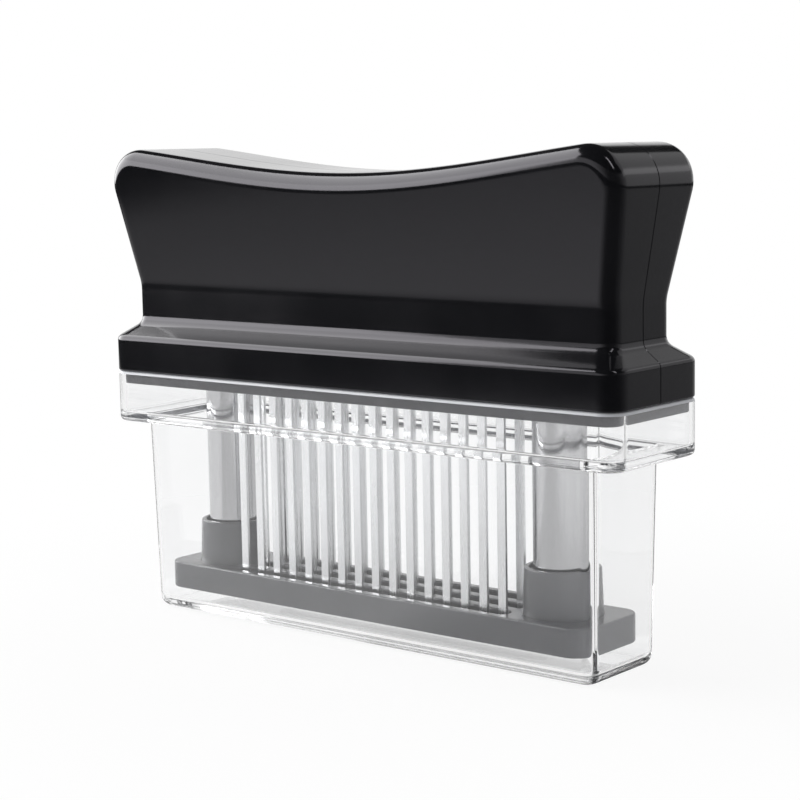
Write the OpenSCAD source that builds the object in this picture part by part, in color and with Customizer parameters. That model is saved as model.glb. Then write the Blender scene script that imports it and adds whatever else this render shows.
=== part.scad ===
// Blade meat tenderizer: three rows of blades fixed in a saddle-topped handle,
// a sprung foot plate on two steel columns, and a clear stepped storage cover.
// Millimetres, +X along the rows, +Y to the back, +Z up.
// The origin is the middle of the cover's underside.

/* [Handle] */
// Length over the flange
flange_len = 150; // [140:0.5:165]
// Depth over the flange
flange_dep = 34.2; // [33:0.2:40]
// Height of the flange's side
flange_h = 8.5; // [7:0.25:11]
// Plan corner radius of the flange
flange_r = 4.8; // [3.6:0.1:7]
// How far the shoulder draws in at each end
shoulder_in_x = 4.3; // [3:0.1:6]
// How far the shoulder draws in at front and back
shoulder_in_y = 5.3; // [4:0.1:6]
// Height of the sloping shoulder between flange and neck
shoulder_h = 3.4; // [2.5:0.1:5]
// Rounding of the neck's and the grip's upright edges
neck_r = 3.7; // [3.2:0.1:5]
// Height of the upright neck above the shoulder
neck_h = 9.4; // [8:0.1:13]
// Half height of the soft bend where the grip starts to flare
crease_soft = 1.4; // [0.8:0.1:2.5]
// How far the horns stand out past the neck at each end
horn_out_x = 4.4; // [2:0.1:6]
// How far the grip stands out past the neck at front and back
horn_out_y = 4.3; // [2:0.1:5.2]
// Height from the cover's rim to the lowest point of the saddle
saddle_h = 48.7; // [45:0.1:56]
// Height of the whole wave that the saddle's curve is a part of
saddle_rise = 8.3; // [5:0.1:10]
// Distance from the middle to the crest of that wave
saddle_reach = 104; // [90:1:130]
// Rounding at the ends of the horns
end_round = 8.8; // [5.4:0.1:10]
// Rounding along the top edges
edge_round = 4; // [3.2:0.1:5]
// Wall of the two handle shells
shell_wall = 2.2; // [1.8:0.1:2.4]

/* [Cover] */
// How far the collar stands out past the lower box at each end
ledge_x = 7.7; // [6:0.1:9]
// How far the collar stands out past the lower box at front and back
ledge_y = 2.85; // [2.2:0.05:3.5]
// Height of the lower box
box_h = 47.1; // [44:0.1:52]
// Draft of the lower box in degrees
box_draft = 1.05; // [0.5:0.05:1.5]
// Plan corner radius of the lower box
box_r = 5; // [3.5:0.25:7]
// Rounding of the box's bottom edge
box_edge = 3; // [2:0.25:4]
// Height of the collar that goes up round the closing plate
collar_h = 12.6; // [11:0.1:15]
// Wall of the cover
cover_wall = 1.6; // [1.2:0.1:2]
// Floor of the cover and of its ledge
cover_floor = 2; // [1.4:0.1:2.6]

/* [Closing plate] */
// Free gap between the closing plate and the cover at each end
closing_gap_x = 0.5; // [0.3:0.05:0.7]
// Free gap between the closing plate and the cover at front and back
closing_gap_y = 0.3; // [0.25:0.05:0.7]
// Free gap between the closing plate's upper step and the handle's wall
closing_step_gap = 0.4; // [0.2:0.1:1]
// How far the closing plate hangs below the flange
closing_drop = 3.2; // [2.4:0.1:4.2]
// How far the closing plate reaches into the handle
closing_in = 1.8; // [1.4:0.1:2.4]
// Diameter of the closing plate's screws
plate_screw_d = 2.6; // [2:0.1:3]
// Diameter of their heads
plate_head_d = 5; // [4.4:0.1:5.4]
// Height of their heads
plate_head_h = 1.5; // [1.2:0.1:2]
// Length of screw that bites into the handle
plate_bite = 5; // [4:0.5:6]
// Distance from the closing plate's end to its screws
plate_screw_in_x = 7.3; // [6.3:0.1:8]
// Distance from the closing plate's side to its screws
plate_screw_in_y = 5.6; // [4.8:0.1:6.2]

/* [Guard] */
// Free gap between the foot plate and the cover at each end
foot_gap_x = 2.34; // [1:0.02:4]
// Free gap between the foot plate and the cover at front and back
foot_gap_y = 0.64; // [0.5:0.02:1.2]
// Gap between the cover's floor and the foot plate
foot_gap = 3.4; // [2.5:0.1:5]
// Thickness of the foot plate
foot_h = 6.55; // [5.5:0.05:8]
// Plan corner radius of the foot plate
foot_r = 4.5; // [3:0.25:6]
// Width of the three long slots
slot_w = 3.6; // [2.8:0.1:4.2]
// Distance from the foot plate's end to a column's axis
column_in = 12.9; // [11:0.1:16]
// Wall of a column's socket at its rim
boss_wall = 2; // [1.4:0.1:2.4]
// Diameter that a boss gains down to its foot
boss_taper = 0.9; // [0:0.1:1]
// Height of a boss above the foot plate
boss_h = 10.55; // [8:0.05:13]
// Depth of the lead-in round a column at the socket's rim
lead_in = 1; // [0.5:0.1:2]
// Diameter of a column
column_d = 12; // [11:0.1:13]
// Wall of a column's tube
column_wall = 0.8; // [0.6:0.05:1]
// Floor under a column inside its socket
socket_floor = 4; // [3.6:0.1:4.6]
// Height of the threaded plug in a column's foot
plug_h = 6; // [4:0.2:8]
// Diameter of the column screws
screw_d = 3.8; // [3:0.1:4.2]
// Diameter of the column screws' heads
screw_head_d = 7; // [6:0.1:8]
// Height of the column screws' heads
screw_head_h = 2; // [1.6:0.1:2.4]

/* [Blades] */
// Blades in one row
blades = 16; // [12:1:17]
// Free gap between a column and the nearest blade
blade_gap = 3.55; // [3.2:0.05:6]
// Distance between rows
row_pitch = 6.92; // [6:0.02:7.1]
// Width of a blade
blade_w = 2.14; // [1.8:0.02:2.4]
// Thickness of a blade
blade_t = 0.8; // [0.5:0.05:1]
// Length of the ground bevel at a blade's tip
blade_bevel = 2.4; // [1.5:0.1:4]
// How far the tips lie above the foot plate's underside
tip_up = 1.2; // [0.4:0.1:2.5]
// How far a blade's head stands out past the blade on each side
head_out = 0.7; // [0.4:0.05:1]
// Height of a blade's head
head_h = 1.2; // [0.8:0.1:1.6]
// Height of the carrier block that holds the blades
carrier_h = 6; // [5:0.1:7]
// Carrier beside the outer rows
carrier_side = 1.9; // [1.5:0.1:2.2]
// Thickness of the clamp plate
clamp_h = 1.5; // [1:0.1:2]
// How much narrower the clamp plate is than the carrier, each side
clamp_in = 0.4; // [0.2:0.1:1]
// Diameter of the clamp screws
clamp_screw_d = 2.2; // [1.8:0.1:2.6]
// Diameter of the clamp screws' heads
clamp_head_d = 4; // [3.4:0.1:4.6]
// Height of the clamp screws' heads
clamp_head_h = 1.3; // [1:0.1:1.6]
// Length of clamp screw that bites into the carrier
clamp_bite = 4.2; // [3:0.1:5]

/* [Springs and guides] */
// Wall of a guide bush
bush_wall = 1.62; // [1.2:0.02:1.8]
// How deep a bush sits in the closing plate
bush_seat = 3; // [2:0.1:3.4]
// Height of a column's stop ring
ring_h = 2.5; // [2:0.1:3]
// Wall of a column's stop ring
ring_wall = 1.6; // [1.2:0.1:1.7]
// How far a column's end stands above its ring
column_end = 1.1; // [0.6:0.1:2]
// Wire diameter of a spring
wire_d = 0.9; // [0.7:0.05:1.1]
// Coils of a spring
coils = 22; // [16:1:26]
// Gap between the closed coils at a spring's ends
end_gap = 0.5; // [0.45:0.05:0.8]
// Radial gap between a spring and its tube
spring_gap = 0.85; // [0.5:0.05:1]
// Height of a spring cap's disc
cap_h = 1.5; // [1:0.1:2]
// Length of a spring cap's peg
cap_peg = 6; // [4:0.5:8]
// Depth of the roof rib over a spring cap
roof_rib = 0.95; // [0.8:0.05:2]

/* [Pegs in the handle] */
// Diameter of a peg
peg_d = 3; // [2:0.1:4]
// Length of a peg past the parting face
peg_out = 3; // [2:0.1:4]
// Wall of a post round its peg
post_wall = 1.7; // [1.4:0.1:2.4]
// Height of the posts above the crease of the grip
post_up = 10; // [6:0.5:14]
// Distance from the end of the neck to the outer posts
post_in = 7.1; // [6:0.1:8]
// Distance from the middle to the inner posts
post_x = 18; // [10:0.5:30]

/* [Hidden] */
$fn = 64;

fit = 0.08;          // running clearance on radius, column in its bush
seat_gap = 0.2;      // small free gap between seated pieces
slip = 0.05;         // clearance on radius of screws and pegs
stop_gap = 0.5;      // gap left between a boss and the closing plate at full travel
over = 1;            // how far a cut runs past the face it leaves by
steel_grey = [0.74, 0.75, 0.77];
black_abs = [0.09, 0.09, 0.10];
grey_abs = [0.42, 0.42, 0.44];

// handle
neck_len = flange_len - 2 * shoulder_in_x;
neck_dep = flange_dep - 2 * shoulder_in_y;
horn_len = neck_len + 2 * horn_out_x;
horn_dep = neck_dep + 2 * horn_out_y;

// levels
rim_z = box_h + collar_h;
foot_z = cover_floor + foot_gap;
foot_top = foot_z + foot_h;
boss_top = foot_top + boss_h;
socket_z = foot_z + socket_floor;
closing_z = rim_z - closing_drop;
closing_top = rim_z + closing_in;
carrier_top = closing_top + carrier_h;
shoulder_z = rim_z + flange_h;
neck_z = shoulder_z + shoulder_h;
crease_z = neck_z + neck_h;
saddle_z = rim_z + saddle_h;
travel = closing_z - boss_top - stop_gap;

// cover, closing plate and foot plate, each inside the one before
box_len = flange_len - 2 * ledge_x;
box_dep = flange_dep - 2 * ledge_y;
cover_slope = tan(box_draft);
function box_x(z) = box_len / 2 - (box_h - z) * cover_slope;
function box_y(z) = box_dep / 2 - (box_h - z) * cover_slope;
closing_len = flange_len - 2 * (cover_wall + closing_gap_x);
closing_dep = flange_dep - 2 * (cover_wall + closing_gap_y);
closing_r = flange_r - cover_wall - closing_gap_y;
step_len = flange_len - 2 * (shell_wall + closing_step_gap);
step_dep = flange_dep - 2 * (shell_wall + closing_step_gap);
step_r = flange_r - shell_wall - closing_step_gap;
foot_len = 2 * (box_x(foot_z) - cover_wall - foot_gap_x);
foot_dep = 2 * (box_y(foot_z) - cover_wall - foot_gap_y);
column_x = foot_len / 2 - column_in;
column_r = column_d / 2;
boss_r = column_r + boss_wall;
plate_screw_x = closing_len / 2 - plate_screw_in_x;
plate_screw_y = closing_dep / 2 - plate_screw_in_y;

// blade stack
blade_pitch = 2 * (column_x - column_r - blade_gap - blade_w / 2) / (blades - 1);
row_half = (blades - 1) / 2 * blade_pitch + blade_w / 2;
slot_len = 2 * row_half + 1;
head_w = blade_w + 2 * head_out;
head_top = carrier_top + head_h;
carrier_half_y = row_pitch + blade_t / 2 + carrier_side;
clamp_x = floor(blades / 3) * blade_pitch + (blades % 2) * blade_pitch / 2;
clamp_y = row_pitch / 2;

// guides, stops and springs
bush_floor = closing_top - bush_seat;
bush_r = column_r + fit + bush_wall;
bush_top = carrier_top - 0.3;
stack_half = column_x - bush_r - 0.75;
ring_r = column_r + ring_wall;
ring_z = bush_top + seat_gap;
column_top = ring_z + ring_h + column_end;
plug_r = column_r - column_wall;
coil_r = plug_r - spring_gap - wire_d / 2;
cap_z = saddle_at(column_x) - shell_wall - roof_rib - cap_h;

function saddle_at(x) = saddle_z + saddle_rise / 2 * (1 - cos(180 * x / saddle_reach));
function saddle_lean(x) = saddle_rise / 2 * PI / saddle_reach * sin(180 * x / saddle_reach);

// ---- rounded outline, exact arcs ----
module rounded(l, w, r) {
    square([l - 2 * r, w], center = true);
    square([l, w - 2 * r], center = true);
    for (sx = [-1, 1], sy = [-1, 1])
        translate([sx * (l / 2 - r), sy * (w / 2 - r)])
            circle(r);
}

module slot(l, w) {
    square([l - w, w], center = true);
    for (sx = [-1, 1])
        translate([sx * (l - w) / 2, 0])
            circle(w / 2);
}

// ---- loft through rounded rectangles: [z, half length, half depth, radius] ----
arc_steps = 5;
function rect_ring(v) = [for (q = [0 : 3], k = [0 : arc_steps])
    let (a = 90 * q + 90 * k / arc_steps,
         sx = (q == 0 || q == 3) ? 1 : -1,
         sy = q < 2 ? 1 : -1)
    [sx * (v[1] - v[3]) + v[3] * cos(a), sy * (v[2] - v[3]) + v[3] * sin(a), v[0]]];

module loft(levels) {
    n = 4 * (arc_steps + 1);
    m = len(levels);
    points = [for (v = levels) each rect_ring(v)];
    sides = [for (i = [0 : m - 2], j = [0 : n - 1])
        let (a = i * n + j, b = i * n + (j + 1) % n)
        each [[a, b + n, b], [a, a + n, b + n]]];
    bottom = [for (j = [0 : n - 1]) j];
    top = [for (j = [n - 1 : -1 : 0]) (m - 1) * n + j];
    polyhedron(points, concat(sides, [bottom, top]), convexity = 6);
}

// ---- clear cover: outer skin upward, inner skin back down ----
module storage_cover() {
    inner_edge = 1.4;
    lip = 1.2;
    ledge = box_h + cover_floor;
    hx = flange_len / 2;
    hy = flange_dep / 2;
    low = [for (a = [0 : 30 : 90])
        let (z = box_edge * (1 - cos(a)), in = box_edge * (1 - sin(a)))
        [z, box_x(z) - in, box_y(z) - in, box_r - in * 0.6]];
    step = [for (a = [0 : 45 : 90])
        [box_h + lip * (1 - cos(a)), hx - lip * (1 - sin(a)),
         hy - lip * (1 - sin(a)), flange_r - lip * (1 - sin(a))]];
    inside = [for (a = [90 : -45 : 0])
        let (z = cover_floor + inner_edge * (1 - cos(a)),
             in = cover_wall + inner_edge * (1 - sin(a)))
        [z, box_x(z) - in, box_y(z) - in, box_r - in * 0.6]];
    color([0.92, 0.94, 0.96, 0.35])
        loft(concat(
            low,
            [[box_h, box_x(box_h), box_y(box_h), box_r]],
            step,
            [[rim_z, hx, hy, flange_r],
             [rim_z, hx - cover_wall, hy - cover_wall, flange_r - cover_wall],
             [ledge, hx - cover_wall, hy - cover_wall, flange_r - cover_wall],
             [ledge, box_x(ledge) - cover_wall, box_y(ledge) - cover_wall,
              box_r - cover_wall]],
            inside));
}

// ---- handle half shell as one closed skin, front half at y <= 0 ----
// From the side the neck goes up into a flared grip, a round corner touches
// both the flare and the saddle, and a fillet follows that outline all round.
fillet_steps = 5;
corner_steps = 3;
flare_rows = 3;
front_steps = 16;
k_all = fillet_steps + 1;
n_all = 2 * corner_steps + front_steps;

function bend(z) = let (u = z - crease_z)
    u <= -crease_soft ? 0 : u >= crease_soft ? u : pow(u + crease_soft, 2) / (4 * crease_soft);
function bend_slope(z) = max(0, min(1, (z - crease_z + crease_soft) / (2 * crease_soft)));
flare_h = saddle_at(horn_len / 2) - end_round - crease_z;
flare_x = horn_out_x / flare_h;
flare_y = horn_out_y / flare_h;
function side_x(z) = neck_len / 2 + flare_x * bend(z);
function face_y(z, w) = neck_dep / 2 + flare_y * bend(z) - w * sqrt(1 + pow(flare_y * bend_slope(z), 2));

// middle of the round corner that touches the saddle at x, and the x where it also touches the flare
function corner_mid(x) = let (s = saddle_lean(x), d = sqrt(1 + s * s))
    [x + end_round * s / d, saddle_at(x) - end_round / d];
function touch_at(x, n) = n == 0 ? x : let (m = corner_mid(x))
    touch_at(x + side_x(m[1]) - end_round * sqrt(1 + flare_x * flare_x) - m[0], n - 1);
touch = touch_at(horn_len / 2 - end_round, 8);
middle = corner_mid(touch);
low = -atan(flare_x);
high = 90 + atan(saddle_lean(touch));
half = (low + high) / 2;
bend_top = crease_z + crease_soft;
side_top = middle[1] + end_round * sin(low);

// stations on the outline: [x, z, outward x, outward z]
function on_corner(a) = [middle[0] + end_round * cos(a), middle[1] + end_round * sin(a), cos(a), sin(a)];
function on_saddle(x) = let (s = saddle_lean(x), d = sqrt(1 + s * s)) [x, saddle_at(x), -s / d, 1 / d];
side_line = concat(
    [for (k = [0 : flare_rows])
        let (z = bend_top + (side_top - bend_top) * k / flare_rows, a = low * k / flare_rows)
        [side_x(z), z, cos(a), sin(a)]],
    [for (k = [1 : corner_steps]) on_corner(low + (half - low) * k / corner_steps)]);
top_line = concat(
    [for (k = [0 : corner_steps]) on_corner(half + (high - half) * k / corner_steps)],
    [for (k = [1 : front_steps - 1]) on_saddle(touch * (1 - 2 * k / front_steps))],
    [for (k = [corner_steps : -1 : 0])
        let (v = on_corner(half + (high - half) * k / corner_steps)) [-v[0], v[1], -v[2], v[3]]]);

// one rib of the fillet, from the parting face to the edge of the front
function rib(v, w) = let (
        t = min(1, abs(v[0]) / touch),
        fillet = edge_round + (neck_r - edge_round) * t * t * (3 - 2 * t),
        tilt = atan(flare_y * v[3]),
        r = fillet - w,
        hub = [v[0] - fillet * v[2], v[1] - fillet * v[3]],
        hub_y = face_y(hub[1] - r * sin(tilt) * v[3], w) - r * cos(tilt))
    concat(
        [[hub[0] + r * v[2], 0, hub[1] + r * v[3]]],
        [for (k = [0 : fillet_steps]) let (a = (90 + tilt) * k / fillet_steps)
            [hub[0] + r * cos(a) * v[2], -(hub_y + r * sin(a)), hub[1] + r * cos(a) * v[3]]]);

function mirrored(row) = [for (k = [len(row) - 1 : -1 : 0]) [-row[k][0], row[k][1], row[k][2]]];

function flat_row(z, hx, hy, r, share) = let (
        right = concat([[hx, 0, z]],
            [for (k = [0 : fillet_steps]) let (a = 90 * k / fillet_steps)
                [hx - r + r * cos(a), -(hy - r + r * sin(a)), z]]))
    concat(right, [for (j = [1 : n_all - 1]) [share[j] * (hx - r), -hy, z]], mirrored(right));

function skin_ribs(line, w) = [for (v = line) rib(v, w)];

function skin_rows(w, sides, tops) = let (
        share = [for (t = tops) t[k_all][0] / tops[0][k_all][0]],
        hx = flange_len / 2 - w, hy = flange_dep / 2 - w, r = flange_r - w,
        nx = neck_len / 2 - w, ny = neck_dep / 2 - w, nr = neck_r - w,
        e = w > 0 ? 0.2 : 0.9,
        top = shoulder_z - 0.55 * w, foot = neck_z - 0.45 * w,
        z1 = sides[len(sides) - 1][k_all][2])
    concat(
        [flat_row(rim_z, hx, hy, r, share),
         flat_row(top - e, hx, hy, r, share),
         flat_row(top - e * 0.3, hx - e * 0.3, hy - e * 0.3, r, share),
         flat_row(top, hx - e, hy - e, r, share),
         flat_row(foot - 0.5, nx + 0.9, ny + 0.9, nr + 0.3, share),
         flat_row(foot, nx + 0.3, ny + 0.3, nr + 0.1, share),
         flat_row(foot + 1, nx, ny, nr, share),
         flat_row(crease_z - crease_soft, nx, ny, nr, share)],
        [for (z = [crease_z - crease_soft / 3, crease_z + crease_soft / 3, bend_top])
            flat_row(z, side_x(z) - w, face_y(z, w), nr, share)],
        [for (i = [1 : len(sides) - 1]) let (
                side = sides[i], p = side[k_all], rise = (p[2] - bend_top) / (z1 - bend_top))
            concat(side,
                [for (j = [1 : n_all - 1]) let (z = p[2] + rise * (tops[j][k_all][2] - z1))
                    [share[j] * p[0], -face_y(z, w), z]],
                mirrored(side))]);

module half_shell() {
    parts = [for (w = [0, shell_wall]) let (
            sides = skin_ribs(side_line, w), tops = skin_ribs(top_line, w))
        [skin_rows(w, sides, tops), tops]];
    m = len(parts[0][0]);
    width = 2 * k_all + n_all + 1;
    grid = m * width;
    roof = k_all * (n_all - 1);
    points = [for (p = parts) each concat(
        [for (row = p[0]) each row],
        [for (s = [1 : k_all], j = [1 : n_all - 1]) p[1][j][k_all - s]])];
    at = function(p, i, j) p * (grid + roof) + i * width + j;
    over_at = function(p, s, j) s == 0 ? at(p, m - 1, k_all + j)
        : j == 0 ? at(p, m - 1, k_all - s)
        : j == n_all ? at(p, m - 1, k_all + n_all + s)
        : p * (grid + roof) + grid + (s - 1) * (n_all - 1) + j - 1;
    quad = function(a, b, c, d) [[a, b, c], [a, c, d]];
    faces = concat(
        [for (i = [0 : m - 2], j = [0 : width - 2])
            each quad(at(0, i, j), at(0, i, j + 1), at(0, i + 1, j + 1), at(0, i + 1, j))],
        [for (i = [0 : m - 2], j = [0 : width - 2])
            each quad(at(1, i, j), at(1, i + 1, j), at(1, i + 1, j + 1), at(1, i, j + 1))],
        [for (s = [0 : k_all - 1], j = [0 : n_all - 1])
            each quad(over_at(0, s, j), over_at(0, s, j + 1), over_at(0, s + 1, j + 1), over_at(0, s + 1, j))],
        [for (s = [0 : k_all - 1], j = [0 : n_all - 1])
            each quad(over_at(1, s, j), over_at(1, s + 1, j), over_at(1, s + 1, j + 1), over_at(1, s, j + 1))],
        [for (j = [0 : width - 2])
            each quad(at(0, 0, j + 1), at(0, 0, j), at(1, 0, j), at(1, 0, j + 1))],
        [for (i = [0 : m - 2])
            each quad(at(0, i, 0), at(0, i + 1, 0), at(1, i + 1, 0), at(1, i, 0))],
        [for (i = [0 : m - 2])
            each quad(at(0, i + 1, width - 1), at(0, i, width - 1), at(1, i, width - 1), at(1, i + 1, width - 1))],
        [for (j = [0 : n_all - 1])
            each quad(over_at(0, k_all, j), over_at(0, k_all, j + 1), over_at(1, k_all, j + 1), over_at(1, k_all, j))]);
    polyhedron(points, faces, convexity = 10);
}

// posts that join the halves
post_d = peg_d + 2 * post_wall;
post_z = crease_z + post_up;
post_places = [for (x = [-1, 1] * (neck_len / 2 - post_in)) x, -post_x, post_x];
function post_len() = face_y(post_z, shell_wall / 2);

module shell_inside() {
    for (p = post_places)
        translate([p, 0, post_z])
            rotate([90, 0, 0])
                cylinder(d = post_d, h = post_len());
    for (s = [-1, 1]) {
        translate([s * plate_screw_x, -plate_screw_y, closing_top])
            cylinder(d = plate_screw_d + 2 * post_wall, h = neck_z - closing_top - shell_wall / 2);
        translate([s * column_x - plug_r, -rib_len, cap_z + cap_h])
            cube([2 * plug_r, rib_len, roof_rib + shell_wall * 0.6]);
    }
}

module screw_bores() {
    for (s = [-1, 1])
        translate([s * plate_screw_x, -plate_screw_y, closing_top - over])
            cylinder(d = plate_screw_d + 2 * slip, h = over + plate_bite + 0.5);
}
rib_len = neck_dep / 2 - shell_wall - 0.6;

module handle_front_shell() {
    color(black_abs) {
        difference() {
            union() {
                half_shell();
                shell_inside();
            }
            screw_bores();
        }
        for (p = post_places)
            translate([p, peg_out, post_z])
                rotate([90, 0, 0])
                    cylinder(d = peg_d, h = peg_out);
    }
}

module handle_rear_shell() {
    color(black_abs)
        mirror([0, 1, 0])
            difference() {
                union() {
                    half_shell();
                    shell_inside();
                }
                screw_bores();
                for (p = post_places)
                    translate([p, over, post_z])
                        rotate([90, 0, 0])
                            cylinder(d = peg_d + 2 * slip, h = over + peg_out + 0.5);
            }
}

// ---- closing plate with its bushes' seats ----
module closing_plate() {
    color(grey_abs)
        difference() {
            union() {
                translate([0, 0, closing_z])
                    linear_extrude(rim_z - closing_z)
                        rounded(closing_len, closing_dep, closing_r);
                translate([0, 0, rim_z])
                    linear_extrude(closing_top - rim_z)
                        rounded(step_len, step_dep, step_r);
            }
            for (k = [-1 : 1])
                translate([0, k * row_pitch, closing_z - over])
                    linear_extrude(closing_top - closing_z + 2 * over)
                        slot(slot_len, slot_w);
            for (s = [-1, 1])
                translate([s * column_x, 0, 0]) {
                    translate([0, 0, closing_z - over])
                        cylinder(r = column_r + 0.4, h = closing_drop + closing_in);
                    translate([0, 0, bush_floor])
                        cylinder(r = bush_r + slip, h = bush_seat + over);
                }
            for (sx = [-1, 1], sy = [-1, 1])
                translate([sx * plate_screw_x, sy * plate_screw_y, closing_z - over]) {
                    cylinder(d = plate_screw_d + 2 * slip, h = closing_drop + closing_in + 2 * over);
                    cylinder(d = plate_head_d + 2 * seat_gap, h = over + seat_gap / 2 + plate_head_h);
                }
        }
}

module closing_plate_screws() {
    color(steel_grey)
        for (sx = [-1, 1], sy = [-1, 1])
            translate([sx * plate_screw_x, sy * plate_screw_y, closing_z + seat_gap / 2]) {
                cylinder(d = plate_head_d, h = plate_head_h);
                cylinder(d = plate_screw_d, h = closing_drop + closing_in - seat_gap / 2 + plate_bite);
            }
}

// ---- blade stack ----
module blade() {
    tip = foot_z + tip_up;
    translate([-blade_w / 2, 0, 0])
        rotate([90, 0, 90])
            linear_extrude(blade_w)
                polygon([[-blade_t / 2, tip + blade_bevel], [blade_t / 2, tip],
                    [blade_t / 2, head_top], [-blade_t / 2, head_top]]);
    translate([-head_w / 2, -blade_t / 2, carrier_top])
        cube([head_w, blade_t, head_h]);
}

module blade_row(k) {
    color(steel_grey)
        for (i = [0 : blades - 1])
            translate([(i - (blades - 1) / 2) * blade_pitch, k * row_pitch, 0])
                blade();
}

module blade_row_front() { blade_row(-1); }
module blade_row_middle() { blade_row(0); }
module blade_row_rear() { blade_row(1); }

module blade_carrier() {
    color(grey_abs)
        difference() {
            translate([-stack_half, -carrier_half_y, closing_top])
                cube([2 * stack_half, 2 * carrier_half_y, carrier_h]);
            for (i = [0 : blades - 1], k = [-1 : 1])
                translate([(i - (blades - 1) / 2) * blade_pitch - blade_w / 2 - slip,
                    k * row_pitch - blade_t / 2 - slip, closing_top - over])
                    cube([blade_w + 2 * slip, blade_t + 2 * slip, carrier_h + 2 * over]);
            for (sx = [-1, 1], sy = [-1, 1])
                translate([sx * clamp_x, sy * clamp_y, carrier_top - clamp_bite - 0.4])
                    cylinder(d = clamp_screw_d + 2 * slip, h = clamp_bite + 0.4 + over);
        }
}

module blade_clamp_plate() {
    color(steel_grey)
        difference() {
            translate([-stack_half, clamp_in - carrier_half_y, head_top])
                cube([2 * stack_half, 2 * (carrier_half_y - clamp_in), clamp_h]);
            for (sx = [-1, 1], sy = [-1, 1])
                translate([sx * clamp_x, sy * clamp_y, head_top - over])
                    cylinder(d = clamp_screw_d + 2 * slip, h = clamp_h + 2 * over);
        }
}

module clamp_screws() {
    color(steel_grey)
        for (sx = [-1, 1], sy = [-1, 1])
            translate([sx * clamp_x, sy * clamp_y, 0]) {
                translate([0, 0, carrier_top - clamp_bite])
                    cylinder(d = clamp_screw_d, h = clamp_bite + head_h + clamp_h);
                translate([0, 0, head_top + clamp_h])
                    cylinder(d = clamp_head_d, h = clamp_head_h);
            }
}

// ---- guides in the handle ----
module guide_bush(s) {
    color([0.86, 0.86, 0.84])
        translate([s * column_x, 0, bush_floor])
            difference() {
                cylinder(r = bush_r, h = bush_top - bush_floor);
                translate([0, 0, -over])
                    cylinder(r = column_r + fit, h = bush_top - bush_floor + 2 * over);
            }
}

module guide_bush_left() { guide_bush(-1); }
module guide_bush_right() { guide_bush(1); }

module spring_cap(s) {
    color([0.86, 0.86, 0.84])
        translate([s * column_x, 0, cap_z]) {
            cylinder(r = plug_r - seat_gap, h = cap_h);
            translate([0, 0, -cap_peg])
                cylinder(r = coil_r - wire_d / 2 - 0.35, h = cap_peg + cap_h / 2);
        }
}

module spring_cap_left() { spring_cap(-1); }
module spring_cap_right() { spring_cap(1); }

// ---- springs: one unbroken tube each, with closed end coils ----
ring_steps = 8;
wire_sides = 6;
spring_z0 = socket_z + plug_h + wire_d / 2 + 0.02;
spring_z1 = cap_z - wire_d / 2 - 0.02;
end_rise = wire_d + end_gap;

function coil_z(t) = let (free = spring_z1 - spring_z0 - 2 * end_rise, open = coils - 2)
    t < 1 ? spring_z0 + end_rise * t
    : t > coils - 1 ? spring_z1 - end_rise * (coils - t)
    : spring_z0 + end_rise + free * (t - 1) / open;
function coil_point(t) = [coil_r * cos(360 * t), coil_r * sin(360 * t), coil_z(t)];

module spring(s) {
    last = coils * ring_steps;
    points = [for (i = [0 : last], k = [0 : wire_sides - 1])
        let (t = i / ring_steps, p = coil_point(t), b = 360 * k / wire_sides,
             out = wire_d / 2 * cos(b))
        [p[0] + out * cos(360 * t), p[1] + out * sin(360 * t), p[2] + wire_d / 2 * sin(b)]];
    sides = [for (i = [0 : last - 1], k = [0 : wire_sides - 1])
        let (a = i * wire_sides + k, b = i * wire_sides + (k + 1) % wire_sides)
        each [[a, a + wire_sides, b + wire_sides], [a, b + wire_sides, b]]];
    start = [for (k = [0 : wire_sides - 1]) k];
    end = [for (k = [wire_sides - 1 : -1 : 0]) last * wire_sides + k];
    color(steel_grey)
        translate([s * column_x, 0, 0])
            polyhedron(points, concat(sides, [start, end]), convexity = 20);
}

module spring_left() { spring(-1); }
module spring_right() { spring(1); }

coil_gap = min([for (i = [0 : coils * ring_steps - ring_steps])
    coil_z(i / ring_steps + 1) - coil_z(i / ring_steps)]) - wire_d;
echo(least_gap_between_coils = coil_gap, travel = travel);

// ---- guard: foot plate, columns and what holds them ----
module foot_plate() {
    color(grey_abs)
        difference() {
            union() {
                translate([0, 0, foot_z])
                    linear_extrude(foot_h)
                        rounded(foot_len, foot_dep, foot_r);
                for (s = [-1, 1])
                    translate([s * column_x, 0, foot_top])
                        cylinder(d1 = 2 * boss_r + boss_taper, d2 = 2 * boss_r, h = boss_h);
            }
            for (k = [-1 : 1])
                translate([0, k * row_pitch, foot_z - over])
                    linear_extrude(foot_h + 2 * over)
                        slot(slot_len, slot_w);
            for (s = [-1, 1])
                translate([s * column_x, 0, 0]) {
                    translate([0, 0, socket_z])
                        cylinder(r = column_r + slip, h = boss_top - socket_z + over);
                    translate([0, 0, boss_top - lead_in])
                        cylinder(r = column_r + 0.45 * boss_wall, h = lead_in + over);
                    translate([0, 0, foot_z - over]) {
                        cylinder(d = screw_d + 2 * seat_gap, h = socket_floor + 2 * over);
                        cylinder(d = screw_head_d + 3 * seat_gap, h = over + screw_head_h + seat_gap);
                    }
                }
        }
}

module column(s) {
    color(steel_grey)
        translate([s * column_x, 0, socket_z])
            difference() {
                cylinder(r = column_r, h = column_top - socket_z);
                translate([0, 0, -over])
                    cylinder(r = plug_r, h = column_top - socket_z + 2 * over);
            }
}

module column_left() { column(-1); }
module column_right() { column(1); }

module column_plug(s) {
    color(steel_grey)
        translate([s * column_x, 0, socket_z])
            difference() {
                cylinder(r = plug_r, h = plug_h);
                translate([0, 0, -over])
                    cylinder(d = screw_d, h = plug_h);
            }
}

module column_plug_left() { column_plug(-1); }
module column_plug_right() { column_plug(1); }

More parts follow.
